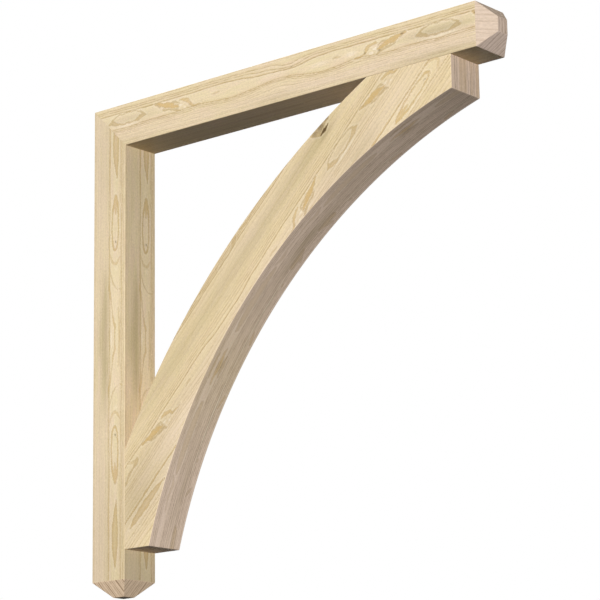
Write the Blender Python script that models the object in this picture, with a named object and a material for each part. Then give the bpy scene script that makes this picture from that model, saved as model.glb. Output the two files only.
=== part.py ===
"""A timber bracket of three members: a post that lies against the wall, a beam mitred to its top, and a curved
brace between the two.

The frame: the wall is the plane X = 0 and the bracket stands out towards +X. Y runs across its thickness, with 0 in
the middle. Z is up, with 0 half-way down the post. All sizes are in metres.
"""

import math

import bmesh
import bpy
from mathutils import Matrix, Vector

MEMBER = 0.0889                     # side of the square post and beam, and thickness of the brace
REACH = 1.016                       # how far the beam stands out, and how tall the post is
END_CHAMFER = MEMBER / 3            # width and depth of the four chamfers on each free end
SETBACK = MEMBER                    # the brace stops this far short of both free ends
BRACE_NOSE = 0.75 * MEMBER          # width of the square-cut ends of the brace
BRACE_SEAT = 0.2                    # length of brace that lies on the post, and on the beam
INNER_BOW = 0.065                   # rise of the brace's inner arc above its chord
OUTER_BOW = 0.14                    # rise of the brace's outer arc above its chord
JOINT_GAP = 0.0003                  # hairline left between two members that meet
ARC_STEPS = 48                      # straight pieces in each arc of the brace

TOP = REACH / 2
PALE_FIR = (0.69, 0.55, 0.34, 1.0)  # planed softwood, pale straw
FIR_ROUGHNESS = 0.62


def clear_scene():
    for old in list(bpy.data.objects):
        bpy.data.objects.remove(old)


def fir_material(name):
    """Planed, unfinished softwood."""
    material = bpy.data.materials.new(name)
    material.use_nodes = True
    shader = material.node_tree.nodes["Principled BSDF"]
    shader.inputs["Base Color"].default_value = PALE_FIR
    shader.inputs["Roughness"].default_value = FIR_ROUGHNESS
    shader.inputs["Metallic"].default_value = 0.0
    return material


def mitred_timber(name):
    """The square timber that post and beam are both made of. It runs along its own +X from the outer corner of the
    mitre, its outer face is at Z = 0, and its far end has four chamfers that leave a small square."""
    shape = bmesh.new()
    bmesh.ops.create_cube(shape, size=1.0)
    bmesh.ops.scale(shape, vec=(REACH, MEMBER, MEMBER), verts=shape.verts)
    bmesh.ops.translate(shape, vec=(REACH / 2, 0, -MEMBER / 2), verts=shape.verts)

    mitre_setback = JOINT_GAP / math.sqrt(2)
    for vert in shape.verts:
        if vert.co.x < REACH / 2:
            vert.co.x = mitre_setback - vert.co.z

    end_edges = [e for e in shape.edges if all(v.co.x > REACH / 2 for v in e.verts)]
    bmesh.ops.bevel(shape, geom=end_edges, offset=END_CHAMFER, offset_type="OFFSET", segments=1, affect="EDGES")
    bmesh.ops.recalc_face_normals(shape, faces=shape.faces)

    mesh = bpy.data.meshes.new(name)
    shape.to_mesh(mesh)
    shape.free()
    return mesh


def add_part(name, data, collection):
    part = bpy.data.objects.new(name, data)
    part.data.materials.append(fir_material(name + "_fir"))
    collection.objects.link(part)
    return part


def arc(start, end, bow, toward):
    """Points on the circle through start and end whose middle lies bow from the chord, on the side of toward."""
    start, end = Vector(start), Vector(end)
    half_chord = (end - start).length / 2
    radius = (half_chord**2 + bow**2) / (2 * bow)
    middle = (start + end) / 2
    out = (Vector(toward) - middle).normalized()
    centre = middle + out * (bow - radius)
    half_angle = math.asin(half_chord / radius)
    along = (end - start).normalized()
    points = []
    for step in range(ARC_STEPS + 1):
        angle = half_angle * (2 * step / ARC_STEPS - 1)
        points.append(centre + radius * (out * math.cos(angle) + along * math.sin(angle)))
    return points


def brace_outline():
    """Corners and arc points of the brace, as (out from the wall, down from the top). The shape is the same on both
    sides of the 45 degree line through the bracket's corner."""
    corner = (0.0, 0.0)
    seat = MEMBER + JOINT_GAP
    far_end = REACH - SETBACK
    seat_start = far_end - BRACE_SEAT
    outer = arc((MEMBER + BRACE_NOSE, far_end), (far_end, MEMBER + BRACE_NOSE), OUTER_BOW, corner)
    inner = arc((seat_start, seat), (seat, seat_start), INNER_BOW, corner)
    return [Vector((seat, far_end)), *outer, Vector((far_end, seat)), *inner]


def brace_curve(name):
    """The outline as a filled flat curve, extruded to the thickness of the other two members."""
    curve = bpy.data.curves.new(name, "CURVE")
    curve.dimensions = "2D"
    curve.fill_mode = "BOTH"
    curve.extrude = MEMBER / 2
    outline = brace_outline()
    spline = curve.splines.new("POLY")
    spline.points.add(len(outline) - 1)
    for point, (out, down) in zip(spline.points, outline):
        point.co = (out, TOP - down, 0.0, 1.0)
    spline.use_cyclic_u = True
    return curve


def main():
    clear_scene()
    bracket = bpy.data.collections.new("timber_bracket")
    bpy.context.scene.collection.children.link(bracket)

    beam = add_part("top_beam", mitred_timber("top_beam"), bracket)
    beam.matrix_world = Matrix.Translation((0, 0, TOP))

    # Half a turn about the mitre's 45 degree line lays the same timber down the wall.
    mitre_line = Vector((1, 0, -1))
    post = add_part("wall_post", mitred_timber("wall_post"), bracket)
    post.matrix_world = Matrix.Translation((0, 0, TOP)) @ Matrix.Rotation(math.pi, 4, mitre_line)

    brace = add_part("curved_brace", brace_curve("curved_brace"), bracket)
    brace.rotation_euler = (math.pi / 2, 0, 0)


main()
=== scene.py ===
"""The finished look of a timber bracket: a wall post, a top beam and a curved brace, all of planed fir.

Sizes are in metres in the bracket's own frame: the wall is the plane X = 0, +Z is up, and the origin is
half-way up the back of the post. The figure of the wood is laid out in millimetres, along and across each
face."""

import math

import bpy
import numpy as np
from mathutils import Matrix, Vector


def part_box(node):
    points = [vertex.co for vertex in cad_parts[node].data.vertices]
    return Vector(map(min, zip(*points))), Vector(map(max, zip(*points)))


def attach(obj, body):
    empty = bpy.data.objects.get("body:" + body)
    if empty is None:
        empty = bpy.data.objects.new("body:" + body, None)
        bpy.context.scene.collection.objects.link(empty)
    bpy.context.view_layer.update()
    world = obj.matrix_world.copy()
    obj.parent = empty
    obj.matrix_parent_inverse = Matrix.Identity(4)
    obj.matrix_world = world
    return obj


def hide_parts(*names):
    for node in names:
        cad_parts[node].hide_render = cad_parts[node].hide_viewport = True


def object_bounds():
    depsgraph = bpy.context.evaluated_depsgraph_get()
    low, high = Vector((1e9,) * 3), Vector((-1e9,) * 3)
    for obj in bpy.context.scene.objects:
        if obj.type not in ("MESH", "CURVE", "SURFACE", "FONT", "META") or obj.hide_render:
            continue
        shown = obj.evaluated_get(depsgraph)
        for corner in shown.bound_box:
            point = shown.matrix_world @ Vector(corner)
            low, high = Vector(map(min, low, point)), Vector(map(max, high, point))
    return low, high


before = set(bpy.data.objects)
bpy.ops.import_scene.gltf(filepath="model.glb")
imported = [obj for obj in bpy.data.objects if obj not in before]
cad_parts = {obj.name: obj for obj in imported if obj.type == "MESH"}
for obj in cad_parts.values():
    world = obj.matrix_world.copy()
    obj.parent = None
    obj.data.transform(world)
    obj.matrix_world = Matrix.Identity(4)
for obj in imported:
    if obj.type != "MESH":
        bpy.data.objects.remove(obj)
cad_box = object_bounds()

MM = 0.001

# Sizes of the bracket
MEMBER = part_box("wall_post")[1].x
HALF = MEMBER / 2
REACH = cad_box[1].x
TOP = cad_box[1].z
END_CHAMFER = MEMBER / 3
BRACE_END = REACH - MEMBER
BRACE_NOSE = 0.75 * MEMBER
BRACE_SEAT = 0.2
INNER_BOW = 0.065
OUTER_BOW = 0.14
JOINT_GAP = 0.0003
MITRE_GAP = 0.0001
MITRE_EASE = 0.05 * MM
ARRIS = 0.9 * MM

# The share of the brace's length that its seat on the post takes up, and its seat under the beam
SEAT_SHARE = 0.137

# Spacing of the surface grid
ALONG_STEP = 4.0 * MM
ACROSS_CELLS = 70
BRACE_ACROSS_CELLS = 76
EDGE_CELLS_SHARE = 0.03
ARRIS_STEPS = 4
CAP_ROWS = 9

# The long faces of a timber, in the order of its section. The front is also the beam's underside and the
# brace's lower arc. The back lies at the wall or roof, or is the brace's upper arc. A chamfer's number is
# that of its long face plus CHAMFERS.
NEAR, FRONT, FAR, BACK = range(4)
CHAMFERS = 4
END_CUT = 8
MITRE_CUT = 9


# Surfaces


def section_columns(cells_deep, cells_wide):
    """One round of a rectangular section with rounded corners, as functions of the column.

    A column lies at (half size - radius) * corner + radius * normal. Corner runs along each side from -1 to
    1, normal is the side's outward direction, and at a corner the normal turns through a quarter circle while
    corner stands still. The near and far sides run across the depth, the front and the back across the width.
    Returns corner and normal as (columns, 2) arrays of (width, depth), and the side that each cell between
    two columns belongs to."""
    corners = np.array([(-1, -1), (-1, 1), (1, 1), (1, -1)], float)
    outward = np.array([(-1, 0), (0, 1), (1, 0), (0, -1)], float)
    quarter = np.arange(1, ARRIS_STEPS)[:, None] * (math.pi / 2 / ARRIS_STEPS)
    corner, normal, side = [], [], []
    for k in range(4):
        following = (k + 1) % 4
        cells = (cells_deep, cells_wide)[k % 2]
        even = np.linspace(EDGE_CELLS_SHARE, 1 - EDGE_CELLS_SHARE, cells - 3)
        straight = np.concatenate([[0, EDGE_CELLS_SHARE / 2], even, [1 - EDGE_CELLS_SHARE / 2, 1]])
        here, there = corners[k], corners[following]
        corner += [here + (there - here) * straight[:, None], np.repeat(there[None], len(quarter), 0)]
        normal += [np.repeat(outward[k][None], len(straight), 0),
                   np.cos(quarter) * outward[k] + np.sin(quarter) * outward[following]]
        side += [np.full(len(straight) - 1, k), np.repeat([k, following], ARRIS_STEPS // 2)]
    return np.concatenate(corner), np.concatenate(normal), np.concatenate(side)


def eased_path(points, radius, steps=3):
    """A path through the points with each corner between them cut back and rounded.

    At a corner where the path turns by phi, the arc starts radius * tan(phi / 2) before it. The arc is drawn
    as the parabola through its two ends that has the corner as its control point, which at these sizes is the
    same."""
    points = np.asarray(points, float)
    t = np.linspace(0, 1, steps + 1)[:, None]
    path = [points[:1]]
    for before, corner, after in zip(points, points[1:], points[2:]):
        back = (before - corner) / np.linalg.norm(before - corner)
        on = (after - corner) / np.linalg.norm(after - corner)
        phi = math.pi - math.acos(np.clip(back @ on, -1, 1))
        cut = radius * math.tan(phi / 2)
        start, end = corner + back * cut, corner + on * cut
        path.append((1 - t) ** 2 * start + 2 * t * (1 - t) * corner + t**2 * end)
    path.append(points[-1:])
    return np.concatenate(path)


def filled(stations, step):
    """The stations with evenly spaced ones put between any two that lie more than a step apart."""
    runs = [np.linspace(a, b, max(1, int(round(np.linalg.norm(b - a) / step))), endpoint=False)
            for a, b in zip(stations, stations[1:])]
    return np.concatenate(runs + [stations[-1:]])


def timber_grid():
    """A mitred square timber as a grid of points (row, column, (along, width, depth)), with its cells' faces.

    Each row is a rounded square of half size HALF - inset. From the middle of the mitre cut the inset shrinks
    to 0, stays 0 along the timber, grows by as much as the row moves along the chamfers, and then grows to
    the middle of the end. A row starts at along = depth on the mitre plane and reaches a plane square to the
    timber by the chamfers: along = (1 - blend) * (gap + depth) + blend * reached."""
    corner, normal, side = section_columns(ACROSS_CELLS, ACROSS_CELLS)
    end_path = eased_path([(0, 0), (REACH - END_CHAMFER, 0), (REACH, END_CHAMFER), (REACH, HALF)], ARRIS)
    mitre_cut = np.linspace(HALF, MITRE_EASE, CAP_ROWS)
    shoulder = filled(np.array([[MITRE_EASE], [end_path[1, 0]]]), ALONG_STEP)[:, 0]
    bevel = filled(end_path[1:], ALONG_STEP)
    body = len(mitre_cut)
    chamfer = body + len(shoulder) - 1
    cap = chamfer + int(np.argmax(np.isclose(bevel[:, 0], REACH)))

    inset = np.concatenate([mitre_cut, np.zeros(len(shoulder) - 1), bevel[:, 1]])
    reached = np.concatenate([np.zeros(body), np.full(len(shoulder) - 1, end_path[1, 0]), bevel[:, 0]])
    blend = np.concatenate([np.zeros(body), shoulder[:-1] / shoulder[-1], np.ones(len(bevel))])

    half = (HALF - inset)[:, None, None]
    radius = np.minimum(ARRIS, half)
    across = (half - radius) * corner[None] + radius * normal[None]
    depth = across[..., 1] + HALF
    gap = MITRE_GAP / math.sqrt(2)
    along = (1 - blend[:, None]) * (gap + depth) + blend[:, None] * reached[:, None]
    grid = np.stack([along, across[..., 0], depth], -1)

    face = np.repeat(side[None], len(inset) - 1, 0)
    face[chamfer:cap] += CHAMFERS
    face[cap:] = END_CUT
    face[: body - 1] = MITRE_CUT
    return grid, face


def arc(start, end, bow, share):
    """Points on the arc from start to end that rises by bow towards the bracket's corner, at shares of its
    length, and that length.

    With h half the chord, the radius is (h^2 + bow^2) / (2 bow) and the arc spans twice asin(h / radius)."""
    start, end = np.array(start), np.array(end)
    half_chord = np.linalg.norm(end - start) / 2
    radius = (half_chord**2 + bow**2) / (2 * bow)
    half_span = math.asin(half_chord / radius)
    along = (end - start) / (2 * half_chord)
    to_corner = np.array([-along[1], along[0]])
    centre = (start + end) / 2 + to_corner * (bow - radius)
    angle = (2 * share - 1)[:, None] * half_span
    points = centre + radius * (to_corner * np.cos(angle) + along * np.sin(angle))
    return points, 2 * radius * half_span


def brace_edges(share):
    """The inner and the outer edge of the brace, as (x, z) from the bracket's corner, at shares from foot to
    head, and the length of the outer one.

    The outer edge is one arc. The inner edge is an arc too, and from SEAT_SHARE before either end it runs on
    straight, for BRACE_SEAT: up the post and out under the beam."""
    seat = MEMBER + JOINT_GAP
    nose = MEMBER + BRACE_NOSE
    outer, length = arc((nose, -BRACE_END), (BRACE_END, -nose), OUTER_BOW, share)
    low, high = (seat, BRACE_SEAT - BRACE_END), (BRACE_END - BRACE_SEAT, -seat)
    inner, _ = arc(low, high, INNER_BOW, np.clip((share - SEAT_SHARE) / (1 - 2 * SEAT_SHARE), 0, 1))
    inner[:, 1] -= BRACE_SEAT * np.clip(1 - share / SEAT_SHARE, 0, 1)
    inner[:, 0] += BRACE_SEAT * np.clip(1 - (1 - share) / SEAT_SHARE, 0, 1)
    return inner, outer, length


def brace_grid():
    """The brace as a grid of points (row, column, (x, y, z, distance along it)), with its cells' faces.

    Each row is a rounded rectangle between the inner and the outer edge at one share of the length, as wide
    as the other timbers. At both ends the row shrinks by the arris, along a quarter circle, and then to its
    middle."""
    corner, normal, side = section_columns(BRACE_ACROSS_CELLS, ACROSS_CELLS)
    _, _, length = brace_edges(np.array([0.0, 1.0]))
    turn = np.linspace(math.pi / 2, 0, ARRIS_STEPS + 1)
    ease = ARRIS * (1 - np.cos(turn))
    lift = ARRIS * (1 - np.sin(turn)) / length
    runs = np.array([[lift[-1]], [SEAT_SHARE], [1 - SEAT_SHARE], [1 - lift[-1]]])
    body = filled(runs, ALONG_STEP / length)[1:-1, 0]
    growth = np.linspace(0, 1, CAP_ROWS)[:-1]
    cap = len(growth)
    cap_inset = np.full(cap, ease[0])

    share = np.concatenate([np.zeros(cap), lift, body, 1 - lift[::-1], np.ones(cap)])
    inset = np.concatenate([cap_inset, ease, np.zeros(len(body)), ease[::-1], cap_inset])
    scale = np.concatenate([growth, np.ones(2 * len(lift) + len(body)), growth[::-1]])

    inner, outer, _ = brace_edges(share)
    middle = (inner + outer) / 2
    deep = np.linalg.norm(outer - inner, axis=1) / 2
    direction = (outer - inner) / (2 * deep[:, None])
    half_wide = ((HALF - inset) * scale)[:, None]
    half_deep = ((deep - inset) * scale)[:, None]
    radius = np.minimum(ARRIS, half_wide)
    wide = (half_wide - radius) * corner[None, :, 0] + radius * normal[None, :, 0]
    down = (half_deep - radius) * corner[None, :, 1] + radius * normal[None, :, 1]
    flat = middle[:, None] + direction[:, None] * down[..., None]
    along = np.broadcast_to((share * length)[:, None], wide.shape)
    grid = np.stack([flat[..., 0], wide, flat[..., 1] + TOP, along], -1)

    face = np.repeat(side[None], len(share) - 1, 0)
    face[:cap] = face[-cap:] = END_CUT
    return grid, face


# Figure of the wood

# Waves over a face, as (height, millimetres a radian along, and across, start). They push the lines of the
# rings across the face, and the edges of the coloured patches along and across it.
LINE_WAVES = [(0.7, 52, 17, 0), (0.45, 23, -9, 1), (0.25, 9.1, 5, 2)]
EDGE_WAVES_ALONG = [(1.3, 8, 2.7, 0)]
EDGE_WAVES_ACROSS = [(0.8, 3.6, 3.3, 0), (0.6, 6.1, -4.6, 1)]

# In millimetres: the widest ring that the material can show, the step over which the slope of the rings is
# measured, how far off a swathe's edge is still felt, and how near to a turning axis a hill counts as on it
WIDEST_RING = 60.0
PROBE = 0.5
SWATHE_REACH = 12.0
ON_AXIS = 1.0
SPAN_STEPS = 5

# The soft patches of a board, by the name of the value that they give
PATCHES = ("pale", "blush", "knot", "dusk")


def hills(u, v, places):
    """The sum over the places of height * exp(-((u - along) / half length)^2 - ((v - across) / half
    width)^2)."""
    total = np.zeros_like(u)
    for along, across, half_length, half_width, height in places:
        total += height * np.exp(-(((u - along) / half_length) ** 2) - ((v - across) / half_width) ** 2)
    return total


def waves(u, v, table):
    """The sum over the table of height * sin(u / along + v / across + start)."""
    return sum(height * np.sin(u / along + v / across + start) for height, along, across, start in table)


def smooth_path(knots):
    """A smooth path through (along, across, half width) points: Catmull-Rom spans of SPAN_STEPS steps
    each."""
    knots = np.asarray(knots, float)
    closed = np.allclose(knots[0], knots[-1])
    first, last = (knots[-2:-1], knots[1:2]) if closed else (knots[:1], knots[-1:])
    p = np.concatenate([first, knots, last])
    t = np.linspace(0, 1, SPAN_STEPS, endpoint=False)[:, None, None]
    a, b, c, d = p[:-3], p[1:-2], p[2:-1], p[3:]
    spans = 2 * b + (c - a) * t + (2 * a - 5 * b + 4 * c - d) * t**2 + (3 * b - a - 3 * c + d) * t**3
    return np.concatenate([(0.5 * spans).transpose(1, 0, 2).reshape(-1, 3), knots[-1:]])


def distance_to_swathe(u, v, path):
    """Distance from points to the edge of a band along the path, negative inside it.

    On each piece of the path it is the distance to the piece's nearest point, less the half width there."""
    nearest = np.full(u.shape, SWATHE_REACH)
    for (u0, v0, w0), (u1, v1, w1) in zip(path, path[1:]):
        du, dv = u1 - u0, v1 - v0
        share = np.clip(((u - u0) * du + (v - v0) * dv) / max(du * du + dv * dv, 1e-6), 0, 1)
        off = np.hypot(u - u0 - share * du, v - v0 - share * dv) - (w0 + share * (w1 - w0))
        nearest = np.minimum(nearest, off)
    return nearest


class Board:
    """The figure of one sawn board. Lengths are in millimetres along and across the face.

    Lines are (across, strength): where growth rings end, and how dark they are there. Swathes are (strength,
    tone, points): bands of colour along a path of (along, across, half width) points, tan at tone 0, golden
    at 1 and knot brown at 2. The others are hills of (along, across, half length, half width, height): bends
    push lines across, and pale, blush, knot and dusk are soft patches. Wavy says how far the swathes' edges
    wave."""

    def __init__(self, lines, wavy=0.4, **figure):
        self.across, self.dark = np.array(lines).T
        self.wavy = wavy
        self.swathes = []
        self.hills = {name: [] for name in ("bends", *PATCHES)}
        self.add(**figure)

    def add(self, swathes=(), turns=(), shifts=(0,), **hills_of):
        """Adds swathes and hills, turned about every axis of turns, as in boards matched like the pages of a
        book, and repeated at every shift."""
        paths = [(*kind, smooth_path(points)) for *kind, points in swathes]
        for turn in turns:
            paths += [(*kind, path * (-1, 1, 1) + (2 * turn, 0, 0)) for *kind, path in paths]
        self.swathes += [(*kind, path + (shift, 0, 0)) for *kind, path in paths for shift in shifts]
        for name, places in hills_of.items():
            places = list(places)
            for turn in turns:
                places += [(2 * turn - u, *rest) for u, *rest in places if abs(u - turn) > ON_AXIS]
            self.hills[name] += [(u + shift, *rest) for u, *rest in places for shift in shifts]

    def place(self, u, v):
        """Where a point would lie across the board if the lines were straight."""
        return v + waves(u, v, LINE_WAVES) + hills(u, v, self.hills["bends"])

    def ring(self, u, v):
        """Ring number: it rises by one from each line to the next."""
        return np.interp(self.place(u, v), self.across, np.arange(len(self.across)))

    def nearest_swathe(self, u, v):
        """The distance to the edge of the nearest swathe, and that swathe's strength and tone, at each
        point."""
        distance, strength, tone = np.full(u.shape, SWATHE_REACH), np.zeros_like(u), np.zeros_like(u)
        for swathe_strength, swathe_tone, path in self.swathes:
            near = (u > path[:, 0].min() - SWATHE_REACH) & (u < path[:, 0].max() + SWATHE_REACH)
            off = np.full(u.shape, SWATHE_REACH)
            off[near] = distance_to_swathe(u[near], v[near], path)
            closer = off < distance
            distance[closer] = off[closer]
            strength[closer] = swathe_strength
            tone[closer] = swathe_tone
        return distance, strength, tone

    def grain(self, u, v, sawn=0.0):
        """All the values of the grain at points of the face, one number a point."""
        ring = self.ring(u, v)
        slope = np.hypot(self.ring(u + PROBE, v) - ring, self.ring(u, v + PROBE) - ring) / PROBE
        swathe, strength, tone = self.nearest_swathe(u + self.wavy * waves(u, v, EDGE_WAVES_ALONG),
                                                     v + self.wavy * waves(u, v, EDGE_WAVES_ACROSS))
        return {"u": u, "v": v, "ring": ring, "ring_width": 1 / np.maximum(slope, 1 / WIDEST_RING),
                "strength": np.interp(self.place(u, v), self.across, self.dark), "swathe": swathe,
                "swathe_strength": strength, "swathe_tone": tone, "sawn": np.full_like(u, sawn),
                **{name: hills(u, v, self.hills[name]) for name in PATCHES}}


def moved(places, along, across):
    """The same hills or points elsewhere on a board."""
    return [(place[0] + along, place[1] + across, *place[2:]) for place in places]


def moved_swathes(swathes, along, across):
    """The same swathes elsewhere on a board."""
    return [(*kind, moved(points, along, across)) for *kind, points in swathes]


# The boards, in millimetres. A turn is a place along a board about which its figure is matched.
POST_TURN = 492
POST_LINES = [(-5, 0.4), (3, 0.5), (6, 0.3), (12, 0.15), (20, 0.25), (26, 0.1), (36, 0.2), (42.5, 0.5),
              (45.5, 0.7), (77, 0.75), (80, 0.5), (83.5, 0.7), (87, 0.5), (94, 0.4)]
POST_SWATHES = [
    (1, 0.35, [(22, 63.5, 0.6), (36, 63, 3.4), (52, 62.5, 5.8), (72, 62.5, 7.6), (95, 62.5, 7.8),
               (115, 63, 6.4), (132, 64, 4.2), (146, 65, 2.2), (158, 66, 0.6)]),
    (0.95, 0.65, [(192, 62, 1.6), (204, 65.5, 2.8), (220, 68.5, 2), (250, 70, 1.3), (280, 69.5, 1.2),
                  (298, 67, 1.6), (308, 61.5, 2.2), (302, 56, 2), (285, 53, 1.6), (260, 51.7, 1.2),
                  (235, 53, 1.4), (213, 56.5, 2), (192, 62, 1.6)]),
    (0.8, 0.7, [(196, 62, 2), (208, 62, 3.8), (222, 62, 2.4), (234, 62, 0.8)]),
    (0.55, 0.6, [(312, 45, 0.8), (324, 49, 1.6), (334, 55, 2.4), (338, 62, 2.6), (334, 68, 2.4),
                 (324, 74, 1.2)]),
    (0.65, 0.4, [(346, 45, 0.5), (360, 49, 0.8), (372, 53, 1.2), (383, 59, 1.2), (390, 66, 1), (393, 74, 1),
                 (392, 82, 0.6)]),
    (0.75, 0.6, [(372, 44, 0.5), (386, 44, 2), (400, 47.5, 2), (424, 51.5, 0.8), (445, 54.5, 1.2),
                 (458, 57, 2.4), (468, 61, 2.4), (480, 60.5, 1.2), (492, 60, 1)]),
    (0.45, 0.5, [(430, 70, 1), (455, 72, 1.8), (475, 73, 2.2), (492, 73, 2.2)]),
    (0.6, 0.75, [(-20, 45, 0.8), (60, 46, 1.4), (140, 45, 1.6), (215, 46, 1), (300, 44.5, 0.8),
                 (372, 45, 1.2), (440, 46.5, 0.8), (492, 46, 0.8)]),
    (0.45, 0.8, [(-20, 78.5, 0.6), (110, 79, 0.8), (200, 80, 0.6), (290, 78, 0.8), (400, 79.5, 0.7),
                 (492, 79, 0.6)])]
POST_PALE = [(180, 60, 20, 8, 0.4), (348, 64, 8, 8, 0.5), (252, 75.5, 50, 1.6, 0.8), (492, 50, 30, 4, 0.6),
             (320, 60, 5, 8, 0.4), (250, 61, 26, 4, 0.35), (250, 48, 60, 1.4, 0.6)]
POST_KNOTS = [(291, 62.5, 3, 2.4, 0.8), (262, 61, 8, 0.9, 0.25)]
POST_DUSK = [(492, 32, 90, 12, 0.85), (492, 14, 70, 12, 0.35), (580, 33, 60, 9, 0.45), (640, 20, 90, 22, 0.2),
             (130, 24, 120, 20, 0.15), (880, 44, 190, 70, 0.35)]


def post_board(blush):
    """The post's board. Blush says how rosy it is along its first edge, near both ends."""
    return Board(POST_LINES, swathes=POST_SWATHES, pale=POST_PALE, blush=[(130, 16, 240, 24, blush)],
                 knot=POST_KNOTS, dusk=POST_DUSK, turns=(POST_TURN,), shifts=(0, 2 * POST_TURN))


POST_BOARD = post_board(blush=0.85)
POST_FRONT_BOARD = post_board(blush=0.2)

BEAM_TURNS = (95, 498)
BEAM_SWATHES = [
    (0.85, 0.35, [(41, 37, 0.6), (46, 35.5, 2.4), (52, 35.5, 4.2), (58, 38, 4.4), (65, 40.5, 3),
                  (72, 41.5, 1.4), (80, 42, 0.9), (88, 43.5, 1.2), (95, 43, 1)]),
    (0.85, 0.2, [(50, 31, 2.4), (54, 27.5, 1.5), (59, 24.5, 1), (65, 23.5, 0.8), (72, 21.5, 0.9),
                 (79, 21.8, 0.6), (87, 20.3, 0.9), (95, 21, 0.8)]),
    (1, 0.8, [(172, 21, 0.8), (180, 22.5, 2.6), (190, 25, 3.6), (200, 29, 5.4), (210, 29.5, 5.6),
              (220, 33, 5.6), (228, 36, 3.4), (240, 40, 1.4)]),
    (0.9, 0.1, [(196, 37, 1.2), (206, 39.5, 1.8), (216, 41, 1.2), (228, 43.5, 2.4), (236, 46, 2.2),
                (243, 49.5, 1)]),
    (0.9, 0, [(175, 20, 0.8), (181, 23, 2), (185, 29, 1.4)]),
    (0.8, 0, [(222, 27, 1.6), (230, 28, 2), (237, 30.5, 1.6), (240, 35, 1)]),
    (0.85, 0.65, [(243, 25, 1.2), (252, 27, 2.4), (261, 29.5, 3.6), (268, 35, 3.4), (272, 41, 2.4),
                  (282, 45.5, 1.4), (298, 46.5, 0.7)]),
    (0.5, 0.3, [(330, 34, 0.8), (342, 32.5, 1.8), (352, 33, 1.2)])]
BEAM_PALE = [(245, 37.5, 7, 2.2, 1), (256, 45, 5, 3, 0.9), (385, 36, 40, 8, 0.25), (305, 34, 20, 8, 0.3),
             (110, 48, 40, 2, 0.5)]
BEAM_BENDS = [(95, 54, 30, 8, -1.5), (478, 48, 50, 16, 4), (290, 46, 40, 16, 2), (385, 52, 40, 10, -1.5),
              (462, 24, 44, 11, -5.5)]
BEAM_KNOTS = [(345, 32.5, 5, 1, 0.2), (456, 25, 6, 1, 0.35), (181, 23, 5, 2.2, 0.35), (236, 43, 5, 3, 0.3),
              (271, 41, 3, 4, 0.3)]
BEAM_BOARD = Board(
    lines=[(-4, 0.4), (2, 0.5), (9.5, 0.8), (13.5, 0.85), (19, 1), (51, 0.95), (54, 0.8), (57.5, 0.6),
           (62, 0.3), (65.5, 0.55), (70, 0.25), (73, 0.4), (79, 0.25), (82, 0.45), (88, 0.3), (94, 0.4)],
    blush=[(95, 56, 110, 14, 0.7), (320, 72, 200, 12, 0.6), (498, 34, 40, 20, 0.3)],
    dusk=[(95, 36, 80, 9, 0.4), (95, 82, 110, 10, 0.3), (498, 80, 70, 12, 0.2), (340, 80, 90, 8, 0.1)],
    swathes=BEAM_SWATHES, bends=BEAM_BENDS, pale=BEAM_PALE, knot=BEAM_KNOTS,
    turns=BEAM_TURNS, shifts=(0, 2 * (BEAM_TURNS[1] - BEAM_TURNS[0])), wavy=1.0)
# The beam's underside. Its dusk clouds darken nearly the whole face: painted shade under the beam.
BEAM_UNDER_BOARD = Board(
    lines=[(-4, 0.3), (8, 0.4), (16, 0.2), (25, 0.3), (38, 0.5), (44, 0.4), (55, 0.2), (63, 0.6), (67, 0.5),
           (76, 0.3), (84, 0.4), (94, 0.3)],
    swathes=[(0.4, 0.1, [(380, 40, 2), (420, 42, 5), (470, 41, 6), (530, 43, 3)])],
    bends=[(450, 30, 120, 12, -5), (450, 58, 120, 12, 5)],
    blush=[(300, 20, 300, 30, 0.5)],
    dusk=[(100, 44, 500, 80, 0.6), (700, 44, 600, 80, 0.4)])

# The brace is as wide as two boards: the beam's figure runs along its middle and the post's along its outer
# edge, both matched about the same axes. The rest of its figure is its own, and isn't matched.
BEAM_ON_BRACE = (11, 87)
POST_ON_BRACE = (20, 138)
BRACE_TURNS = (511, 917)
BRACE_BOARD = Board(
    lines=[(-2, 0.5), (10, 0.5), (15.5, 0.7), (19.5, 1), (23.5, 0.8), (27.5, 1), (36, 0.25), (47, 0.15),
           (60, 0.25), (72, 0.2), (84, 0.3), (90, 0.5), (94.5, 0.6), (99, 0.7), (105.3, 1), (123, 0.3),
           (132, 0.45), (140, 0.6), (144.5, 0.5), (149.5, 0.45), (158, 0.3), (168, 0.25), (177, 0.3),
           (184.5, 1), (217, 0.6), (223, 0.6), (230, 0.6), (235.5, 0.6), (246, 0.5), (256, 0.5), (266, 0.4)],
    swathes=moved_swathes(BEAM_SWATHES, *BEAM_ON_BRACE) + moved_swathes(POST_SWATHES, *POST_ON_BRACE),
    bends=moved(BEAM_BENDS, *BEAM_ON_BRACE),
    pale=moved(BEAM_PALE, *BEAM_ON_BRACE) + moved(POST_PALE, *POST_ON_BRACE),
    knot=moved(BEAM_KNOTS, *BEAM_ON_BRACE) + moved(POST_KNOTS, *POST_ON_BRACE),
    turns=BRACE_TURNS, wavy=0.8)
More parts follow.
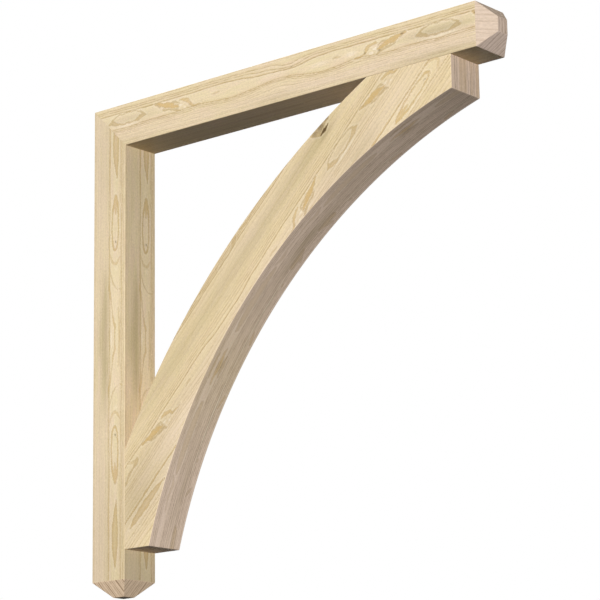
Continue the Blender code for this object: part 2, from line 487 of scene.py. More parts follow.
BRACE_BOARD.add(
    swathes=[
        (0.7, 0.1, [(560, 28, 0.6), (590, 27.5, 1), (612, 27, 1.4), (622, 22, 3.4), (630, 17, 5),
                    (634, 10, 5)]),
        (0.5, 0.4, [(650, 10, 4), (660, 18, 3), (672, 21, 2), (690, 22, 1)]),
        (0.8, 0.15, [(100, 128, 0.8), (108, 127, 2.2), (124, 123.5, 2), (138, 122.5, 2.2), (150, 121, 4),
                     (158, 118, 3.6)]),
        (0.55, 0.4, [(132, 103, 0.6), (140, 109, 1.8), (148, 115, 3)]),
        (0.9, 0.3, [(892, 38, 4), (897, 47, 5), (904, 54, 4)]),
        (0.9, 0, [(902, 42, 5), (914, 48, 8), (928, 44, 8)]),
        (1, 0, [(930, 42, 4), (937, 49, 3.6), (941, 51, 2)]),
        (1, 2, [(903, 60.5, 1.4), (911, 61, 2.2), (919, 61, 2.8), (926, 61, 1.8), (934, 60, 1)])],
    knot=[(897, 46, 7, 9, 0.45), (917, 48, 13, 10, 0.6), (938, 46, 6, 7, 0.75)],
    dusk=[(500, 60, 260, 24, 0.4), (560, 24, 240, 12, 0.15), (740, 62, 200, 20, 0.4), (310, 60, 130, 26, 0.3),
          (885, 62, 90, 22, 0.45), (940, 118, 170, 18, 0.3), (900, 150, 90, 26, 0.25),
          (945, 166, 60, 12, 0.4), (917, 70, 26, 6, 0.4), (100, 170, 110, 50, 0.7),
          (300, 125, 220, 20, 0.25)],
    blush=[(260, 160, 220, 26, 0.85), (560, 130, 340, 18, 0.5), (130, 200, 200, 14, 0.5),
           (830, 145, 200, 26, 0.6), (1020, 170, 140, 26, 0.5), (100, 225, 200, 20, 0.4),
           (680, 48, 130, 22, 0.5)])

ARC_TURN = 380
ARC_REPEAT = 620
ARC_BOARD = Board(
    lines=[(-5, 0.4), (3, 0.35), (8, 0.45), (13, 0.65), (17, 0.5), (34, 0.8), (38, 0.55), (42, 0.75),
           (48, 0.35), (54, 0.4), (60.5, 0.75), (64.5, 0.85), (70, 0.8), (74, 0.65), (79, 0.4), (83, 0.7),
           (93, 0.4)],
    swathes=[
        (0.7, 0.1, [(150, 26, 2), (175, 25, 6), (225, 25, 7.5), (270, 25, 6.5), (300, 26, 3)]),
        (0.7, 0.85, [(340, 27, 1), (352, 25, 2.4), (366, 27, 4.4), (380, 28, 6)]),
        (0.7, 0.6, [(352, 14, 0.8), (366, 12, 1.6), (380, 13, 2.2)]),
        (0.7, 0.6, [(356, 38, 0.8), (368, 37, 1.4), (380, 38.5, 1.8)]),
        (0.7, 0.6, [(295, 74, 1), (308, 77, 2.6), (322, 80, 2)]),
        (0.7, 0.1, [(108, 70, 1), (116, 73, 3), (124, 78, 2)]),
        (0.7, 0.1, [(180, 72, 1.5), (185, 73, 2.4)]),
        (0.7, 0.2, [(0, 66, 5), (30, 65, 5), (46, 63, 2)]),
        (0.6, 0.1, [(70, 24, 1), (100, 22, 2), (125, 25, 3), (145, 20, 1.5)])],
    bends=[(380, 14, 90, 10, 3), (380, 42, 90, 10, -3), (225, 12, 110, 8, 3), (225, 38, 110, 8, -3)],
    pale=[(220, 35, 90, 1.6, 0.7), (290, 18, 50, 1.2, 0.7), (250, 67.5, 110, 1.6, 1.2), (220, 15, 80, 1, 0.6),
          (340, 31, 60, 1, 0.7), (330, 41, 90, 1, 0.6)],
    knot=[(380, 33, 26, 1.6, 0.45), (380, 22, 20, 1.4, 0.45), (372, 27, 10, 2, 0.3)],
    dusk=[(115, 55, 80, 8, 0.6), (60, 48, 40, 3, 0.35), (540, 50, 60, 10, 0.2)],
    turns=(ARC_TURN,), shifts=(0, ARC_REPEAT))


def cut_board(spacing):
    """A cut across the end of a timber: straight lines at a nearly even spacing, some stronger than
    others."""
    count = np.arange(-20, 40)
    across = spacing * (count + 0.25 * np.sin(1.7 * count))
    strength = 0.7 + 0.3 * np.sin(2.4 * count)
    return Board(np.stack([across, strength], 1))


FINE_END_BOARD = cut_board(6.0)
END_BOARD = cut_board(7.0)
BROAD_END_BOARD = cut_board(8.5)
BRACE_END_BOARD = Board(
    lines=[(-6, 0.4), (6, 0.25), (14, 0.9), (19, 0.5), (33, 0.35), (44, 0.6), (53, 0.5), (60, 0.7),
           (65, 0.35), (72, 0.9), (82, 0.3), (96, 0.4)],
    swathes=[
        (0.55, 0.5, [(-300, 36, 11), (2200, 38, 11)]),
        (0.5, 0.3, [(-300, 64, 3.5), (2200, 64, 3.5)]),
        (0.4, 0.8, [(-300, 83, 5), (2200, 83, 5)])])

# How far along its board each long face of the post or beam starts, in the order of the faces, so that no two
# side by side are alike, and how much further along theirs the brace's hidden faces start
FACE_STARTS = (0, 0, 210, 330)
BRACE_FAR_START = 170
BRACE_BACK_START = 90

# The chamfers in the same order, as (board, lean of its lines, painted shade that darkens the chamfer
# for the way it faces the light, strength of the lines)
POST_CHAMFERS = 2 * ((FINE_END_BOARD, 0.1, 0, 1.15), (FINE_END_BOARD, -0.1, 0, 0.85))
BEAM_CHAMFERS = ((END_BOARD, 0, 0.75, 0.5), (BROAD_END_BOARD, 0.5, 0, 0.85),
                 (END_BOARD, 0, 0.75, 0.5), (BROAD_END_BOARD, 0.2, 0.8, 1))

# How much darker the square ends are: partly the end grain's own tone, partly painted shade, most on the
# post's end, which faces down
POST_END_DUSK = 1.0
BEAM_END_DUSK = 0.3
BRACE_END_DUSK = 0.35

# Where the chord of the brace starts on its board, along and across it
CHORD_START = 600
CHORD_EDGE = -500

# How much the brace's arcs show that they are sawn, and how much less round one place along them
ARC_SAWN = 0.85
PLANED_PLACE = 365
PLANED_HALF_LENGTH = 130
PLANED_SHARE = 0.4

# How far each face is moved along the noise of the material, in millimetres, so that none repeats another
FACE_SHIFT = 1700

GRAIN_VALUES = ("ring", "ring_width", "strength", "swathe", "swathe_strength", "swathe_tone", *PATCHES,
                "sawn")


def timber_grain(points, face, boards, chamfers, end_dusk):
    """The grain of one face of the post or beam, from its (along, width, depth) points, the boards that its
    long faces are cut from and its chamfers."""
    along, width, depth = (points[..., k] / MM for k in range(3))
    side = face % 4
    across = depth if side in (NEAR, FAR) else width + HALF / MM
    if face in (END_CUT, MITRE_CUT):
        grain = BROAD_END_BOARD.grain(depth, width, sawn=1.0)
        # Partly the end grain's own darker tone, partly painted shade: the square end darkens by end_dusk
        grain["dusk"] += end_dusk
        return grain
    if face >= CHAMFERS:
        down = along - (REACH - END_CHAMFER) / MM
        board, lean, dusk, strength = chamfers[side]
        grain = board.grain(down, across - lean * down, sawn=1.0)
        # Painted shade: each chamfer darkens by its own amount, for the way it faces the light
        grain["dusk"] += dusk
        grain["strength"] *= strength
        return grain
    return boards[side].grain(along + FACE_STARTS[side], across)


def post_grain(points, face):
    """The grain of one face of the post."""
    boards = (POST_BOARD, POST_FRONT_BOARD, POST_BOARD, POST_BOARD)
    return timber_grain(points, face, boards, POST_CHAMFERS, POST_END_DUSK)


def beam_grain(points, face):
    """The grain of one face of the beam."""
    boards = (BEAM_BOARD, BEAM_UNDER_BOARD, BEAM_BOARD, BEAM_BOARD)
    return timber_grain(points, face, boards, BEAM_CHAMFERS, BEAM_END_DUSK)


def brace_grain(points, face):
    """The grain of one face of the brace, from its (x, y, z, distance along) points.

    On the two flat sides it runs straight along the 45 degree chord, and on the arcs it follows them."""
    x, width, z, along = (points[..., k] / MM for k in range(4))
    z = z - TOP / MM
    if face == END_CUT:
        grain = BRACE_END_BOARD.grain(x - z, width + HALF / MM, sawn=1.0)
        # Partly the end grain's own darker tone, partly painted shade, on the brace's square ends
        grain["dusk"] += BRACE_END_DUSK
        return grain
    if face in (FRONT, BACK):
        sawn = ARC_SAWN - PLANED_SHARE * np.exp(-((along - PLANED_PLACE) / PLANED_HALF_LENGTH) ** 2)
        return ARC_BOARD.grain(along + BRACE_BACK_START * (face == BACK), width + HALF / MM, sawn=sawn)
    chord = (x + z) * math.sqrt(0.5) + CHORD_START
    across = (x - z) * math.sqrt(0.5) + CHORD_EDGE
    return BRACE_BOARD.grain(chord + BRACE_FAR_START * (face == FAR), across)


def lay_grain(mesh, points, faces, grain_of):
    """Writes the grain into the mesh at every face corner: the GRAIN_VALUES as attributes, and the distances
    along and across the grain, in metres, as the UV map."""
    values = {name: np.zeros(len(faces), np.float32) for name in GRAIN_VALUES}
    place = np.zeros((len(faces), 2), np.float32)
    for face in np.unique(faces):
        here = faces == face
        grain = grain_of(points[here], int(face))
        for name in GRAIN_VALUES:
            values[name][here] = grain[name]
        place[here, 0] = (grain["u"] + FACE_SHIFT * face) * MM
        place[here, 1] = grain["v"] * MM
    for name in GRAIN_VALUES:
        mesh.attributes.new(name, "FLOAT", "CORNER").data.foreach_set("value", values[name])
    mesh.uv_layers.new(name="grain").uv.foreach_set("vector", place.ravel())


# Pieces

SHARP_ANGLE = math.radians(26)


def closed_mesh(name, grid, face, inside_out):
    """A mesh of a grid of points that is closed round its columns and drawn together to one point at its
    first and its last row: cells of four corners, and a fan of three-cornered ones round each end point.

    Returns the mesh with, for each face corner, its (row, column) in the grid and the face of the timber."""
    rows, columns = grid.shape[:2]
    number = np.arange((rows - 2) * columns).reshape(rows - 2, columns) + 1
    number = np.vstack([np.zeros((1, columns), int), number, np.full((1, columns), number.max() + 1)])
    points = np.vstack([grid[0, :1], grid[1:-1].reshape(-1, 3), grid[-1, :1]])

    row, column = np.meshgrid(np.arange(rows - 1), np.arange(columns), indexing="ij")
    following = (column + 1) % columns
    here, beside = np.stack([row, column], -1), np.stack([row, following], -1)
    above, above_beside = np.stack([row + 1, column], -1), np.stack([row + 1, following], -1)
    cells = np.stack([here, above, above_beside, beside], 2)[1:-1].reshape(-1, 4, 2)
    first_fan = np.stack([here[0], above[0], above_beside[0]], 1)
    last_fan = np.stack([here[-1], above[-1], beside[-1]], 1)
    parts = [part[:, ::-1] if inside_out else part for part in (cells, first_fan, last_fan)]

    polygons = [polygon for part in parts for polygon in number[part[..., 0], part[..., 1]].tolist()]
    mesh = bpy.data.meshes.new(name)
    mesh.from_pydata(points.tolist(), [], polygons)
    corners = np.concatenate([part.reshape(-1, 2) for part in parts])
    faces = np.concatenate([np.repeat(face[1:-1], 4), np.repeat(face[0], 3), np.repeat(face[-1], 3)])
    return mesh, corners, faces


def make_piece(name, grid, placed, face, inside_out, grain_of, material):
    """Builds one timber in place of the plain solid of the same name, and lays its grain.

    Placed holds the grid's points where they are in the bracket, and grain_of(points, face) gives the grain
    at points of the grid itself."""
    mesh, corners, faces = closed_mesh(name, placed, face, inside_out)
    lay_grain(mesh, grid[corners[:, 0], corners[:, 1]], faces, grain_of)
    mesh.shade_smooth()
    mesh.set_sharp_from_angle(angle=SHARP_ANGLE)
    mesh.materials.append(material)
    piece = bpy.data.objects.new(name + "_timber", mesh)
    bpy.context.scene.collection.objects.link(piece)
    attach(piece, "root")
    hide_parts(name)


# Material parts

NODE_COLUMN = 190
NODE_ROW = 230


def feed(tree, socket, value):
    """Links a socket to the value where the value is a socket too, and else sets it to the value."""
    if isinstance(value, bpy.types.NodeSocket):
        tree.links.new(value, socket)
    else:
        socket.default_value = value


def node(tree, kind, label="", **settings):
    """A shader node. Settings are its properties, and the values of its inputs, by name."""
    made = tree.nodes.new("ShaderNode" + kind)
    made.label = label
    for name, value in settings.items():
        if name in made.bl_rna.properties:
            setattr(made, name, value)
        else:
            made.inputs[name].default_value = value
    return made


def arrange(tree):
    """Sets the nodes out in columns, each one to the right of every node that it reads."""
    column = {made: 0 for made in tree.nodes}
    for _ in tree.nodes:
        for link in tree.links:
            column[link.to_node] = max(column[link.to_node], column[link.from_node] + 1)
    filled_rows = [0] * (max(column.values()) + 1)
    for made, at in column.items():
        made.location = (at * NODE_COLUMN, -filled_rows[at] * NODE_ROW)
        filled_rows[at] += 1


def new_group(name, inputs, outputs):
    """A shader node group. Its inputs are given as (name, kind, default), and its outputs, all values, by
    name."""
    group = bpy.data.node_groups.new(name, "ShaderNodeTree")
    for label, kind, *default in inputs:
        socket = group.interface.new_socket(label, in_out="INPUT", socket_type="NodeSocket" + kind)
        if default:
            socket.default_value = default[0]
    for label in outputs:
        group.interface.new_socket(label, in_out="OUTPUT", socket_type="NodeSocketFloat")
    return group, group.nodes.new("NodeGroupInput").outputs, group.nodes.new("NodeGroupOutput").inputs


def place_group(tree, group, **values):
    """A node group in a material. Its inputs are fed by name, with underscores for the spaces."""
    made = tree.nodes.new("ShaderNodeGroup")
    made.node_tree = group
    for name, value in values.items():
        feed(tree, made.inputs[name.replace("_", " ")], value)
    return made.outputs


def maths(tree, operation, *values, label="", clamp=False):
    """A Math node. Each value is a number or a socket."""
    made = node(tree, "Math", label, operation=operation, use_clamp=clamp)
    for socket, value in zip(made.inputs, values):
        feed(tree, socket, value)
    return made.outputs[0]


def swung(tree, base, noise, depth):
    """base + depth * (noise - 0.5): the base, with noise that swings it up and down."""
    return maths(tree, "MULTIPLY_ADD", maths(tree, "SUBTRACT", noise, 0.5), depth, base)


def fading(tree, distance, length):
    """exp(-distance / length)."""
    return maths(tree, "EXPONENT", maths(tree, "MULTIPLY", distance, -1 / length))


def mixed(tree, factor, a, b, blend="MIX", label=""):
    """A colour Mix node. The factor, a and b are values or sockets."""
    made = node(tree, "Mix", label, data_type="RGBA", blend_type=blend)
    for number, value in ((0, factor), (6, a), (7, b)):
        feed(tree, made.inputs[number], value)
    return made.outputs[2]


def tinted(tree, label, colour, tint, *shares):
    """The colour mixed with the tint, by the product of the shares."""
    share, *factors = shares
    for factor in factors:
        share = maths(tree, "MULTIPLY", share, factor)
    return mixed(tree, share, colour, tint, label=label)


# Noises of the wood, as waves a metre along and across the grain, detail, roughness and any fourth coordinate
NOISES = {
    "slow waver of the lines": (70, 550, 2, 0.5), "quick waver of the lines": (350, 1300, 2, 0.5),
    "lines fade and return": (40, 550, 3, 0.5), "bands": (15, 375, 3, 0.6), "streaks": (45, 1650, 4, 0.68),
    "hair lines": (175, 9500, 3, 0.65), "flecks": (225, 2100, 2, 0.5), "resin canals": (130, 2300, 2, 0.7),
    "specks": (200, 375, 1, 0.5), "rose": (17.5, 90, 3, 0.55), "straw": (12.5, 70, 3, 0.55, 20),
    "ragged edges": (275, 850, 4, 0.6)}


def wood_noise(tree, grain, name):
    """The noise of that name, read along and across the grain."""
    along, across, detail, roughness, *fourth = NOISES[name]
    settings = {"noise_dimensions": "4D", "W": fourth[0]} if fourth else {}
    spread = node(tree, "Mapping", name, Scale=(along, across, 1))
    noise = node(tree, "TexNoise", name, Scale=1, Detail=detail, Roughness=roughness, **settings)
    tree.links.new(grain, spread.inputs["Vector"])
    tree.links.new(spread.outputs[0], noise.inputs["Vector"])
    return noise.outputs["Fac"]


def ramped(tree, value, low, high, label=""):
    """0 at low and 1 at high, rising smoothly between them, and level beyond."""
    made = node(tree, "MapRange", label, interpolation_type="SMOOTHSTEP")
    for name, setting in (("Value", value), ("From Min", low), ("From Max", high)):
        feed(tree, made.inputs[name], setting)
    return made.outputs["Result"]


# Growth rings, in millimetres: how far a line and its latewood reach back before its place, how far the line
# and the pale earlywood reach beyond it, and how far the lines waver
LINE_BEFORE = 1.4
LATEWOOD_BEFORE = 3.5
LINE_BEYOND = 0.5
EARLYWOOD_BEYOND = 1.8
SLOW_WAVER = 2.4
QUICK_WAVER = 0.4

# What is left of a line where it fades away, the levels of the noise between which it returns, and the
# strengths between which lines cease to fade away
FADED_LINE = 0.4
RETURNING_LINE = (0.36, 0.6)
STEADY_LINE = (0.8, 1.0)


def growth_rings_group():
    """Growth rings. Latewood deepens over some millimetres before each line, and the line ends within a
    fraction of one beyond it.

    Share is how much of a ring lies between the last line and the point, so the next line is (1 - share) *
    width ahead, and the last one share * width behind. Each shade is exp(-distance / reach) * strength.
    Breadth makes the lines broader."""
    group, start, end = new_group(
        "growth_rings", [("Ring", "Float"), ("Ring Width", "Float", 5.0), ("Strength", "Float"),
                         ("Breadth", "Float", 1.0), ("Grain", "Vector")], ["Line", "Latewood", "Earlywood"])
    slow = wood_noise(group, start["Grain"], "slow waver of the lines")
    quick = wood_noise(group, start["Grain"], "quick waver of the lines")
    waver = swung(group, swung(group, 0.0, quick, QUICK_WAVER), slow, SLOW_WAVER)
    shift = maths(group, "DIVIDE", waver, start["Ring Width"])
    share = maths(group, "FRACT", maths(group, "ADD", start["Ring"], shift))
    width = maths(group, "DIVIDE", start["Ring Width"], start["Breadth"])
    before = maths(group, "MULTIPLY", maths(group, "SUBTRACT", 1.0, share), width)
    beyond = maths(group, "MULTIPLY", share, width)
    line = maths(group, "MAXIMUM", fading(group, before, LINE_BEFORE), fading(group, beyond, LINE_BEYOND))

    fade = ramped(group, wood_noise(group, start["Grain"], "lines fade and return"), *RETURNING_LINE)
    kept = maths(group, "MULTIPLY_ADD", fade, 1 - FADED_LINE, FADED_LINE)
    kept = maths(group, "MAXIMUM", kept, ramped(group, start["Strength"], *STEADY_LINE))
    strength = maths(group, "MULTIPLY", start["Strength"], kept)
    for name, shade in (("Line", line), ("Latewood", fading(group, before, LATEWOOD_BEFORE)),
                        ("Earlywood", fading(group, beyond, EARLYWOOD_BEYOND))):
        group.links.new(maths(group, "MULTIPLY", shade, strength, clamp=True), end[name])
    arrange(group)
    return group


def noise_group(name, outputs):
    """A group of noises of the wood. Each output has the name of its noise and, where the noise is turned
    into marks, the levels between which they begin."""
    group, start, end = new_group(name, [("Grain", "Vector")], outputs)
    for output, (noise_name, *levels) in outputs.items():
        noise = wood_noise(group, start["Grain"], noise_name)
        group.links.new(ramped(group, noise, *levels) if levels else noise, end[output])
    arrange(group)
    return group


GROWTH_RINGS = growth_rings_group()

# Streaks along the grain: broad bands, fine streaks, hair lines, short pale flecks, dark resin canals and
# specks
WOOD_FIBRES = noise_group("wood_fibres", {
    "Bands": ("bands",), "Streaks": ("streaks",), "Hair": ("hair lines",), "Flecks": ("flecks", 0.52, 0.7),
    "Canals": ("resin canals", 0.56, 0.68), "Specks": ("specks",)})

# Slow change of tone over a timber towards rose and towards straw, and what makes the edges of patches ragged
COLOUR_DRIFT = noise_group("colour_drift", {
    "Rose": ("rose", 0.42, 0.64), "Straw": ("straw", 0.42, 0.62), "Rag": ("ragged edges",)})

# Colours of the wood
CREAM = (0.814, 0.671, 0.438, 1)
POST_CREAM = (0.832, 0.684, 0.453, 1)
BRACE_CREAM = (0.81, 0.651, 0.393, 1)
ROSE = (0.84, 0.66, 0.485, 1)
STRAW = (0.795, 0.67, 0.4, 1)
BLUSH = (0.855, 0.69, 0.52, 1)
PALE = (0.89, 0.765, 0.58, 1)
LATEWOOD = (0.41, 0.265, 0.095, 1)
LATE_GOLD = (0.65, 0.48, 0.225, 1)
TAN = (0.52, 0.385, 0.2, 1)
GOLD = (0.66, 0.43, 0.145, 1)
KNOT = (0.14, 0.085, 0.035, 1)
# The grey that the dusk value multiplies the wood by: darker clouds over the faces, and painted shade on the
# beam's underside, on the chamfers and in part on the square ends
DUSK = (0.68, 0.67, 0.6, 1)
POST_SAWN = (0.98, 0.75, 0.54, 1)
BEAM_SAWN = (0.92, 0.74, 0.64, 1)
BRACE_SAWN = (0.96, 0.755, 0.625, 1)
POST_SAWN_LINE = (0.27, 0.15, 0.08, 1)
BEAM_SAWN_LINE = (0.42, 0.285, 0.22, 1)
BRACE_SAWN_LINE = (0.28, 0.19, 0.145, 1)

# Ring width at which the lines of an end cut are as broad as those of a long face, in millimetres
EVEN_RING = 4.5

# How much of each colour the wood takes, from 0, none, to 1, all of it
BAND_SHARE = 0.17
FLECK_SHARE = 0.4
EARLYWOOD_SHARE = 0.75
LATEWOOD_SHARE = 0.5
CUT_LATEWOOD_SHARE = 0.6
RIM_SHARE = 0.4
HALO_SHARE = 0.55
MIDDLE_SHARE = 0.4

# Levels between which a colour grows from none to its full share, and how ragged the soft patches' edges are
BLUSH_BANDS = (0.25, 0.55)
TAN_BANDS = (0.35, 0.68)
PALE_PATCH = (0.25, 0.75)
KNOT_PATCH = (0.1, 0.9)
CUT_ACROSS = (0.9, 1.0)
MOTTLING = (0.78, 1.12)
PATCH_RAG = 1.1

# Swathes, in millimetres: how ragged their edge is, and how much more so where tan and gold mix, where the
# colour sets in, how much softer sawn wood makes that, how deep inside it pales, and their rim and halo
EDGE_RAG = 6.0
MIXED_TONE_RAG = 5.0
SWATHE_EDGE = (0.9, -1.3)
SAWN_SOFTNESS = 2.5
INWARD_FADE = 10 / 3
RIM_WIDTH = 0.7
HALO_WIDTH = 0.9
HALO_PLACE = 2.4

# The least colour that the mottling of a swathe leaves and what it adds, and how it swings the tone
LEAST_MOTTLED = 0.45
MOTTLED_MORE = 0.7
MIDDLE_MOTTLE = 0.97
TONE_SWING = 1.6

# How far each noise swings the brightness of the wood, and how much the resin canals darken it
BRIGHTNESS = {"Streaks": 0.32, "Hair": 0.3, "Rag": 0.3, "Specks": 0.3}
CANAL_DEPTH = 0.13

# The surface: its roughness, more where it is sawn and less on the lines, and its fine relief
ROUGHNESS = 0.6
SAWN_ROUGHNESS = 0.12
LINE_SMOOTHNESS = 0.1
SPECULAR = 0.3
LATEWOOD_RELIEF = 0.6
RELIEF_STRENGTH = 0.25
RELIEF_HEIGHT = 0.3 * MM


def bare_wood(tree, wood, cream, sawn_colour, drift_share):
    """The colour of the wood without its rings: cream that drifts to rose and straw, with blush and pale
    patches, bands and flecks, and the sawn faces' own colour."""
    bands = wood["Bands"]
    colour = tinted(tree, "rose drift", cream, ROSE, wood["Rose"], drift_share)
    colour = tinted(tree, "straw drift", colour, STRAW, wood["Straw"], drift_share)
    colour = tinted(tree, "blush", colour, BLUSH, wood["blush"], ramped(tree, bands, *BLUSH_BANDS))
    colour = tinted(tree, "sawn faces", colour, sawn_colour, wood["sawn"])
    colour = tinted(tree, "tan bands", colour, TAN, ramped(tree, bands, *TAN_BANDS), BAND_SHARE)
    colour = tinted(tree, "pale flecks", colour, PALE, wood["Flecks"], FLECK_SHARE)
    pale = ramped(tree, swung(tree, wood["pale"], wood["Rag"], PATCH_RAG), *PALE_PATCH)
    return tinted(tree, "pale burl", colour, PALE, pale)


def with_rings(tree, wood, cut_across, colour, pale_wood, line_colour):
    """The colour with the rings on it: pale earlywood beyond each line, broad latewood before it, and the
    line."""
    colour = tinted(tree, "pale earlywood", colour, pale_wood, wood["Earlywood"], EARLYWOOD_SHARE)
    share = maths(tree, "MULTIPLY_ADD", cut_across, CUT_LATEWOOD_SHARE - LATEWOOD_SHARE, LATEWOOD_SHARE)
    late_colour = mixed(tree, wood["sawn"], LATE_GOLD, TAN)
    colour = tinted(tree, "broad latewood", colour, late_colour, wood["Latewood"], share)
    return tinted(tree, "line of the ring", colour, line_colour, wood["Line"])


def with_swathes(tree, wood, colour, pale_wood, line_colour):
    """The colour with the swathes on it: mottled tan and gold that is deepest near a ragged edge, with a dark
    rim on the edge and a pale halo outside it."""
    strength, plain_tone = wood["swathe_strength"], wood["swathe_tone"]
    rag = maths(tree, "MULTIPLY_ADD", maths(tree, "PINGPONG", plain_tone, 1), MIXED_TONE_RAG, EDGE_RAG)
    edge = swung(tree, wood["swathe"], wood["Rag"], rag)
    softness = maths(tree, "MULTIPLY_ADD", wood["sawn"], SAWN_SOFTNESS, 1)
    inside = ramped(tree, maths(tree, "DIVIDE", edge, softness), *SWATHE_EDGE)
    depth = maths(tree, "EXPONENT", maths(tree, "DIVIDE", wood["swathe"], INWARD_FADE), clamp=True)
    depth = maths(tree, "MULTIPLY_ADD", depth, 1 - MIDDLE_SHARE, MIDDLE_SHARE)
    depth = maths(tree, "MAXIMUM", depth, plain_tone, label="paler towards its middle")
    mottle = maths(tree, "ADD", wood["Streaks"], wood["Rag"])
    mottled = ramped(tree, mottle, *MOTTLING)
    mottled = maths(tree, "MULTIPLY_ADD", mottled, MOTTLED_MORE, LEAST_MOTTLED, clamp=True)

    tone = maths(tree, "SUBTRACT", mottle, MIDDLE_MOTTLE)
    tone = maths(tree, "MULTIPLY_ADD", tone, TONE_SWING, plain_tone, clamp=True)
    browner = maths(tree, "SUBTRACT", plain_tone, 1, clamp=True)
    tint = mixed(tree, browner, mixed(tree, tone, TAN, GOLD), KNOT)
    colour = tinted(tree, "swathes", colour, tint, strength, inside, depth, mottled)
    rim = fading(tree, maths(tree, "ABSOLUTE", edge), RIM_WIDTH)
    colour = tinted(tree, "rims of the swathes", colour, line_colour, rim, RIM_SHARE, strength)
    off_halo = maths(tree, "ABSOLUTE", maths(tree, "SUBTRACT", edge, HALO_PLACE))
    halo = fading(tree, off_halo, HALO_WIDTH)
    return tinted(tree, "pale wood round the swathes", colour, pale_wood, halo, HALO_SHARE, strength)


def fir_material(name, cream, sawn_colour, sawn_line, drift_share=0.65):
    """Planed fir: cream earlywood that drifts to rose and straw, tan latewood, swathes and knots, and greyer,
    pinker sawn faces."""
    material = bpy.data.materials.new(name)
    material.use_nodes = True
    tree = material.node_tree
    shader = tree.nodes["Principled BSDF"]
    grain = node(tree, "UVMap", "grain", uv_map="grain").outputs["UV"]
    wood = {name: node(tree, "Attribute", name, attribute_name=name).outputs["Fac"] for name in GRAIN_VALUES}
    cut_across = ramped(tree, wood["sawn"], *CUT_ACROSS, label="cut across the grain")
    cut_breadth = maths(tree, "MULTIPLY_ADD", wood["ring_width"], 1 / EVEN_RING, -1)
    breadth = maths(tree, "MULTIPLY_ADD", cut_across, cut_breadth, 1)
    rings = place_group(tree, GROWTH_RINGS, Ring=wood["ring"], Ring_Width=wood["ring_width"],
                        Strength=wood["strength"], Breadth=breadth, Grain=grain)
    fibres = place_group(tree, WOOD_FIBRES, Grain=grain)
    drift = place_group(tree, COLOUR_DRIFT, Grain=grain)
    wood.update({output.name: output for outputs in (rings, fibres, drift) for output in outputs})

    pale_wood = mixed(tree, wood["sawn"], PALE, sawn_colour)
    line_colour = mixed(tree, wood["sawn"], LATEWOOD, sawn_line)
    colour = bare_wood(tree, wood, cream, sawn_colour, drift_share)
    colour = with_rings(tree, wood, cut_across, colour, pale_wood, line_colour)
    colour = with_swathes(tree, wood, colour, pale_wood, line_colour)
    knot = ramped(tree, swung(tree, wood["knot"], wood["Rag"], PATCH_RAG), *KNOT_PATCH)
    colour = tinted(tree, "knots", colour, KNOT, knot)
    # Darker clouds, which include painted shade on the beam's underside, the chamfers and in part the square
    # ends
    colour = mixed(tree, wood["dusk"], colour, DUSK, blend="MULTIPLY", label="darker clouds")
    shade = maths(tree, "MULTIPLY_ADD", wood["Canals"], -CANAL_DEPTH, 1)
    for name, depth in BRIGHTNESS.items():
        shade = swung(tree, shade, wood[name], depth)
    colour = mixed(tree, 1, colour, shade, blend="MULTIPLY", label="fibres")
    tree.links.new(colour, shader.inputs["Base Color"])

    rough = maths(tree, "MULTIPLY_ADD", wood["sawn"], SAWN_ROUGHNESS, ROUGHNESS)
    rough = maths(tree, "MULTIPLY_ADD", wood["Line"], -LINE_SMOOTHNESS, rough)
    tree.links.new(rough, shader.inputs["Roughness"])
    shader.inputs["Specular IOR Level"].default_value = SPECULAR

    height = maths(tree, "MULTIPLY_ADD", wood["Latewood"], LATEWOOD_RELIEF, wood["Hair"])
    bump = node(tree, "Bump", "grain relief", Strength=RELIEF_STRENGTH, Distance=RELIEF_HEIGHT)
    tree.links.new(height, bump.inputs["Height"])
    tree.links.new(bump.outputs[0], shader.inputs["Normal"])
    arrange(tree)
    return material


# The three timbers


def make_bracket():
    """Makes the post and the beam from one grid, which starts at the bracket's corner and runs down the wall
    or out along the roof, and the brace from its own."""
    corner = np.array([0, 0, TOP])
    down = np.array([[0, 0, -1], [0, 1, 0], [1, 0, 0]])
    out = np.array([[1, 0, 0], [0, 1, 0], [0, 0, -1]])
    grid, face = timber_grid()
    make_piece("wall_post", grid, corner + grid @ down, face, False, post_grain,
               fir_material("post_fir", POST_CREAM, POST_SAWN, POST_SAWN_LINE))
    make_piece("top_beam", grid, corner + grid @ out, face, True, beam_grain,
               fir_material("beam_fir", CREAM, BEAM_SAWN, BEAM_SAWN_LINE))
    grid, face = brace_grid()
    make_piece("curved_brace", grid, grid[..., :3], face, True, brace_grain,
               fir_material("brace_fir", BRACE_CREAM, BRACE_SAWN, BRACE_SAWN_LINE, drift_share=0.35))


# Studio

CAMERA_PLACE = (3.54044, -3.589033, -1.116443)
CAMERA_AZIMUTH = math.radians(40.1151)
CAMERA_PITCH = math.radians(13.6751)
CAMERA_ROLL = math.radians(-0.8402)
CAMERA_LENS = 150.05
CAMERA_SENSOR = 36.0

# The lights, as the azimuth from +X towards +Y and the elevation that each comes from, its spread and its
# power
LIGHTS = {
    "key": (-57, -3, 8, 3.85), "top_fill": (180, 88, 30, 0.8), "back_fill": (128, 12, 40, 1.6),
    "far_side_fill": (92, 3, 4, 1.9), "wall_side_fill": (180, 45, 12, 2.6)}

# The white ground, as the camera sees it and as the bracket is lit by it
GROUND_SEEN = 1.0
GROUND_SHED = 0.015

FLOOR_HEIGHT = -6
FLOOR_SIZE = 40


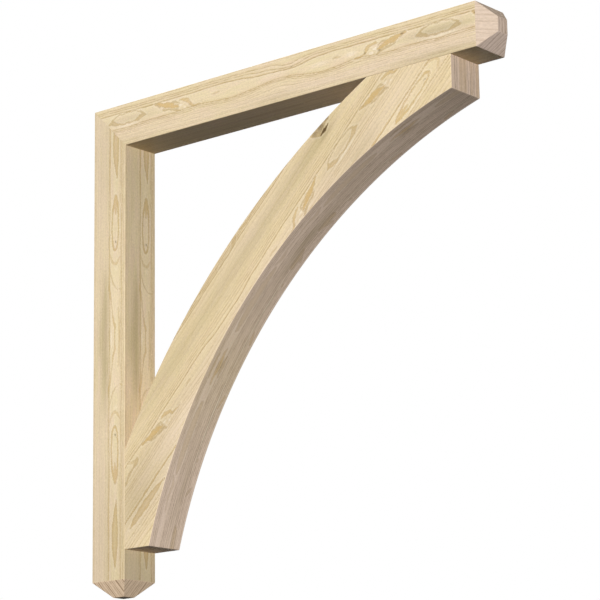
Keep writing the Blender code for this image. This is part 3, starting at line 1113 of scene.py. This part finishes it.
def add_camera():
    """Looks along an azimuth turned to the left of +Y and upwards by the pitch, then rolls about that
    line."""
    data = bpy.data.cameras.new("camera")
    data.lens = CAMERA_LENS
    data.sensor_width = CAMERA_SENSOR
    camera = bpy.data.objects.new("camera", data)
    turned = Matrix.Rotation(CAMERA_AZIMUTH, 4, "Z") @ Matrix.Rotation(math.pi / 2 + CAMERA_PITCH, 4, "X")
    rolled = turned @ Matrix.Rotation(CAMERA_ROLL, 4, "Z")
    camera.matrix_world = Matrix.Translation(CAMERA_PLACE) @ rolled
    bpy.context.scene.collection.objects.link(camera)
    bpy.context.scene.camera = camera


def add_light(name, azimuth, elevation, spread, power):
    """A broad soft light from far off, which falls evenly on the whole bracket. Its angles are in degrees."""
    data = bpy.data.lights.new(name, "SUN")
    data.angle = math.radians(spread)
    data.energy = power
    light = bpy.data.objects.new(name, data)
    light.rotation_euler = (0, math.radians(90 - elevation), math.radians(azimuth))
    bpy.context.scene.collection.objects.link(light)


def add_world():
    """A plain white ground behind the bracket, which itself lights it only faintly."""
    world = bpy.data.worlds.new("studio")
    bpy.context.scene.world = world
    world.use_nodes = True
    tree = world.node_tree
    tree.nodes.clear()
    out = tree.nodes.new("ShaderNodeOutputWorld")
    path = tree.nodes.new("ShaderNodeLightPath")
    mix = tree.nodes.new("ShaderNodeMixShader")
    for slot, strength in ((1, GROUND_SHED), (2, GROUND_SEEN)):
        ground = tree.nodes.new("ShaderNodeBackground")
        ground.inputs["Strength"].default_value = strength
        ground.inputs["Color"].default_value = (1, 1, 1, 1)
        tree.links.new(ground.outputs[0], mix.inputs[slot])
    tree.links.new(path.outputs["Is Camera Ray"], mix.inputs[0])
    tree.links.new(mix.outputs[0], out.inputs["Surface"])
    arrange(tree)


def add_floor():
    """A plain pale floor, well below the bracket and out of the camera's view, that casts nothing on it."""
    half = FLOOR_SIZE / 2
    corners = [(x, y, FLOOR_HEIGHT) for x, y in ((-half, -half), (half, -half), (half, half), (-half, half))]
    mesh = bpy.data.meshes.new("floor")
    mesh.from_pydata(corners, [], [(0, 1, 2, 3)])
    material = bpy.data.materials.new("pale_floor")
    material.use_nodes = True
    shader = material.node_tree.nodes["Principled BSDF"]
    shader.inputs["Base Color"].default_value = (0.8, 0.8, 0.8, 1)
    shader.inputs["Roughness"].default_value = 0.9
    shader.inputs["Emission Color"].default_value = (1, 1, 1, 1)
    shader.inputs["Emission Strength"].default_value = 0.5
    mesh.materials.append(material)
    floor = bpy.data.objects.new("floor", mesh)
    floor.visible_diffuse = floor.visible_glossy = floor.visible_shadow = False
    bpy.context.scene.collection.objects.link(floor)


def add_studio():
    """The camera at the photo's angle, a white ground, light from the near side and fill for the others."""
    add_camera()
    add_world()
    for name, light in LIGHTS.items():
        add_light(name, *light)
    add_floor()
    view = bpy.context.scene.view_settings
    view.view_transform = "Standard"
    view.look = "None"


make_bracket()
add_studio()
